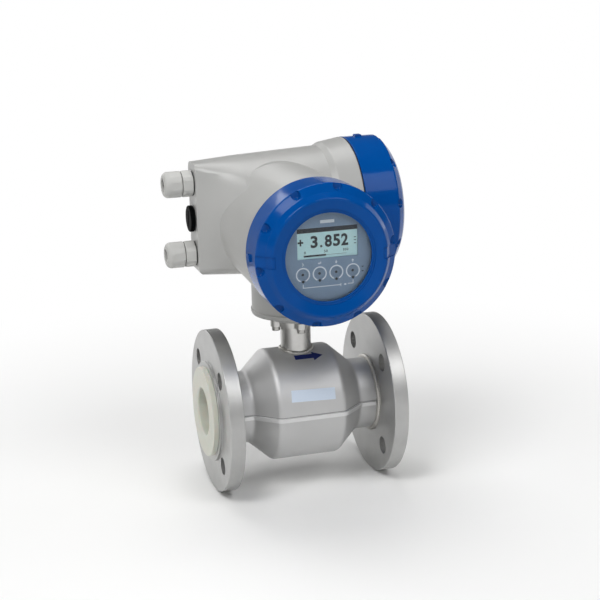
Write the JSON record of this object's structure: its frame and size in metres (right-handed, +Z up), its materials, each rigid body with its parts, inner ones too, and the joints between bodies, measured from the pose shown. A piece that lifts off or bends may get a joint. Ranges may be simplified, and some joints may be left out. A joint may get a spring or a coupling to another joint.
{
  "type": "electromagnetic flow meter",
  "caption": "Flanged electromagnetic flow meter: lined steel tube in a coil housing, with a signal converter on a neck, round display cover, side terminal cover and cable glands.",
  "frame": {"origin": "on the axis of the flow bore, half-way between the two sealing faces", "axes": "+X along the bore in the flow direction, +Z up towards the signal converter, -Y out of the display"},
  "size_m": [0.2305, 0.2032, 0.3537],
  "materials": {
    "flange_steel": "turned stainless steel",
    "housing_steel": "pressed, bead-blasted stainless steel",
    "tube_steel": "drawn stainless steel",
    "liner": "moulded off-white liner",
    "magnet_steel": "laminated soft iron",
    "coil_winding": "taped copper winding",
    "electrode": "polished alloy",
    "insulator": "white insulating plastic",
    "fastener": "stainless screw",
    "seal_rubber": "black rubber",
    "potting": "black resin",
    "housing_paint": "light grey powder coat on cast aluminium",
    "cover_paint": "glossy blue powder coat on cast aluminium",
    "window": "clear glass",
    "panel": "grey moulded plastic",
    "lcd": "pale liquid crystal display",
    "key_lens": "grey optical key lens",
    "board": "green circuit board",
    "insert_plastic": "black moulded plastic",
    "terminal_green": "green terminal plastic",
    "gland_plastic": "light grey polyamide",
    "plug_plastic": "black polyamide"
  },
  "bodies": {
    "meter_body": {"measuring_tube": "tube_steel", "liner": "liner", "inlet_flange": "flange_steel", "outlet_flange": "flange_steel", "upper_housing_shell": "housing_steel", "lower_housing_shell": "housing_steel", "upper_pole_shoe": "magnet_steel", "lower_pole_shoe": "magnet_steel", "upper_field_coil": "coil_winding", "lower_field_coil": "coil_winding", "return_yoke": "magnet_steel", "front_electrode": "electrode", "rear_electrode": "electrode", "electrode_bushes": "insulator", "electrode_springs": "fastener", "electrode_nuts": "fastener", "neck_tube": "housing_steel", "neck_flange": "housing_steel", "neck_gasket": "seal_rubber", "neck_screws": "fastener", "lead_seal": "potting", "converter_housing": "housing_paint", "display_panel": "panel", "lcd_module": "lcd", "key_lenses": "key_lens", "display_board": "board", "electronics_insert": "insert_plastic", "signal_board": "board", "power_board": "board", "power_transformer": "magnet_steel", "terminal_carrier": "insert_plastic", "terminal_strips": "terminal_green", "terminal_screws": "fastener", "carrier_screws": "fastener", "upper_gland_body": "gland_plastic", "upper_gland_seal": "seal_rubber", "lower_gland_body": "gland_plastic", "lower_gland_seal": "seal_rubber", "blanking_plug": "plug_plastic", "blanking_plug_seal": "seal_rubber"},
    "front_seal_body": {"front_cover_seal": "seal_rubber"},
    "front_cover_body": {"front_cover": "cover_paint", "window_glass": "window", "window_ring": "fastener"},
    "terminal_seal_body": {"terminal_cover_seal": "seal_rubber"},
    "terminal_cover_body": {"terminal_cover": "cover_paint"},
    "upper_insert_body": {"upper_gland_insert": "seal_rubber"},
    "upper_nut_body": {"upper_dome_nut": "gland_plastic"},
    "lower_insert_body": {"lower_gland_insert": "seal_rubber"},
    "lower_nut_body": {"lower_dome_nut": "gland_plastic"}
  },
  "joints": [
    {"name": "front_cover_travel", "type": "slide", "parent": "meter_body", "child": "front_seal_body", "axis": [0, -1, 0], "range_m": [0, 0.02001]},
    {"name": "front_cover_turn", "type": "hinge", "parent": "front_seal_body", "child": "front_cover_body", "pos_m": [0, -0.0735, 0.177], "axis": [0, -1, 0], "range_deg": [0, 3600]},
    {"name": "terminal_cover_travel", "type": "slide", "parent": "meter_body", "child": "terminal_seal_body", "axis": [1, 0, 0], "range_m": [0, 0.02001]},
    {"name": "terminal_cover_turn", "type": "hinge", "parent": "terminal_seal_body", "child": "terminal_cover_body", "pos_m": [0.054, 0, 0.2], "axis": [1, 0, 0], "range_deg": [0, 3600]},
    {"name": "upper_nut_travel", "type": "slide", "parent": "meter_body", "child": "upper_insert_body", "axis": [-1, 0, 0], "range_m": [0, 0.01051]},
    {"name": "upper_nut_turn", "type": "hinge", "parent": "upper_insert_body", "child": "upper_nut_body", "pos_m": [-0.101, 0, 0.235], "axis": [-1, 0, 0], "range_deg": [0, 2520]},
    {"name": "lower_nut_travel", "type": "slide", "parent": "meter_body", "child": "lower_insert_body", "axis": [-1, 0, 0], "range_m": [0, 0.01051]},
    {"name": "lower_nut_turn", "type": "hinge", "parent": "lower_insert_body", "child": "lower_nut_body", "pos_m": [-0.101, 0, 0.165], "axis": [-1, 0, 0], "range_deg": [0, 2520]}
  ],
  "couplings": [
    {"joint": "front_cover_travel", "follows": "front_cover_turn", "m_per_rad": 0.00031831},
    {"joint": "terminal_cover_travel", "follows": "terminal_cover_turn", "m_per_rad": 0.00031831},
    {"joint": "upper_nut_travel", "follows": "upper_nut_turn", "m_per_rad": 0.00023873},
    {"joint": "lower_nut_travel", "follows": "lower_nut_turn", "m_per_rad": 0.00023873}
  ]
}
